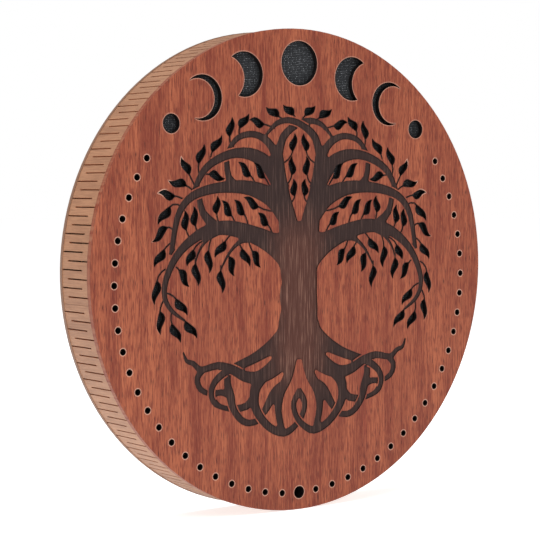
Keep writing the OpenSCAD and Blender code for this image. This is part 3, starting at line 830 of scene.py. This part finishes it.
class PEGBOARD_OT_bed(bpy.types.Operator):
    """Presses the felt bed round the pegs"""

    bl_idname = "pegboard.bed"
    bl_label = "Felt Bed"

    CORNER_R = 3.6 * MM
    # A peg's thin end, as a share of its head's radius, and the length of its head
    SHANK_SHARE = 0.68
    HEAD_L = 9 * MM

    def execute(self, context):
        want = context.scene.peg_bed
        low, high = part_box("peg_bed")
        trim = Vector((want.margin,) * 3)
        size = high - low - 2 * trim

        begin()
        bpy.ops.mesh.primitive_cube_add(size=1, location=(low + high) / 2, scale=size)
        bed = context.object
        bpy.ops.object.transform_apply(location=True, rotation=True, scale=True)
        bpy.ops.object.mode_set(mode="EDIT")
        pick(bed, lambda e: abs(e.verts[0].co.y - e.verts[1].co.y) > size.y / 2, "edges")
        bpy.ops.mesh.bevel(offset=self.CORNER_R, segments=8)
        bpy.ops.object.mode_set(mode="OBJECT")
        for shade in ("light", "dark"):
            for number in PEG_NUMBERS:
                self.press(bed, f"peg_{shade}_{number}", want.margin)
        apply_modifier(bed, "REMESH", mode="VOXEL", voxel_size=want.pitch)
        apply_modifier(bed, "SMOOTH", factor=0.5, iterations=3)
        bpy.ops.object.shade_smooth()
        settle(bed, "felt_bed", "board", felt_finish(want))
        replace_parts(bed, "peg_bed")
        return {"FINISHED"}

    @classmethod
    def press(cls, bed, peg, margin):
        """Hollows the bed for one peg: a long groove, and a wider one at the head."""
        low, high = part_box(peg)
        middle = (low + high) / 2
        head_r = (high.z - low.z) / 2
        outward = 1 if middle.x > 0 else -1
        tip = min(abs(low.x), abs(high.x))
        top = tip + high.x - low.x
        for radius, start, end in ((head_r * cls.SHANK_SHARE, tip, top),
                                   (head_r, top - cls.HEAD_L, top)):
            begin()
            bpy.ops.mesh.primitive_cylinder_add(
                vertices=40, radius=radius + margin, depth=end - start + 2 * margin,
                location=(outward * (start + end) / 2, middle.y, middle.z),
                rotation=(0, math.pi / 2, 0))
            cutter = bpy.context.object
            apply_modifier(bed, "BOOLEAN", object=cutter, operation="DIFFERENCE")
            bpy.data.objects.remove(cutter)


class PEGBOARD_OT_pegs(bpy.types.Operator):
    """Finishes the turned pegs"""

    bl_idname = "pegboard.pegs"
    bl_label = "Pegs"

    def execute(self, context):
        want = context.scene.peg_pegs
        for shade, tone in (("light", want.pale), ("dark", want.dark)):
            finish = peg_finish(f"{shade}_peg_wood", tuple(tone))
            for number in PEG_NUMBERS:
                softened_copy(f"peg_{shade}_{number}", f"turned_{shade}_peg_{number}", "board",
                              finish, 0.15 * MM)
        return {"FINISHED"}


class PEGBOARD_OT_hardware(bpy.types.Operator):
    """Softens and finishes the brass pieces, the washer and the bumpers"""

    bl_idname = "pegboard.hardware"
    bl_label = "Brass, Washer and Bumpers"

    def execute(self, context):
        want = context.scene.peg_metal
        brass = brass_finish(want)
        for node in ("cover_plate", "cover_button"):
            softened_copy(node, "brass_" + node, "cover", brass, want.edge_w)
        for node in ("pivot_screw", "catch_screw", "hanger_plate", "hanger_screws",
                     "back_screws"):
            softened_copy(node, "brass_" + node, "board", brass, want.edge_w)
        softened_copy("cover_washer", "plastic_washer", "board", washer_finish(want),
                      want.edge_w)
        rubber = rubber_finish(want)
        for corner in ("top_left", "top_right", "bottom_left", "bottom_right"):
            softened_copy("bumper_" + corner, "rubber_bumper_" + corner, "board",
                          rubber, want.foot_edge, 4)
        return {"FINISHED"}


class PEGBOARD_PT_panel(bpy.types.Panel):
    """Lists the board's settings and steps"""

    bl_idname = "PEGBOARD_PT_panel"
    bl_label = "Round Peg Board"
    bl_space_type = "VIEW_3D"
    bl_region_type = "UI"
    bl_category = "Peg Board"

    def draw(self, context):
        for step in STEPS:
            self.layout.operator(step.bl_idname)
        for key, group in GROUPS.items():
            box = self.layout.box()
            box.label(text=group.__doc__)
            for name in group.__annotations__:
                box.prop(getattr(context.scene, key), name)


STEPS = (PEGBOARD_OT_stage, PEGBOARD_OT_face, PEGBOARD_OT_band, PEGBOARD_OT_boards,
         PEGBOARD_OT_cloth, PEGBOARD_OT_bed, PEGBOARD_OT_pegs, PEGBOARD_OT_hardware)


def register():
    """Adds the settings, the operators and the panel to Blender."""
    for group in (*GROUPS.values(), *STEPS, PEGBOARD_PT_panel):
        bpy.utils.register_class(group)
    for key, group in GROUPS.items():
        setattr(bpy.types.Scene, key, PointerProperty(type=group))


def unregister():
    """Takes them away again."""
    for key in GROUPS:
        delattr(bpy.types.Scene, key)
    for group in reversed((*GROUPS.values(), *STEPS, PEGBOARD_PT_panel)):
        bpy.utils.unregister_class(group)


def main():
    """Runs every step in order."""
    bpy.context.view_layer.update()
    register()
    for step in STEPS:
        area, name = step.bl_idname.split(".")
        getattr(getattr(bpy.ops, area), name)()


if __name__ == "__main__":
    main()
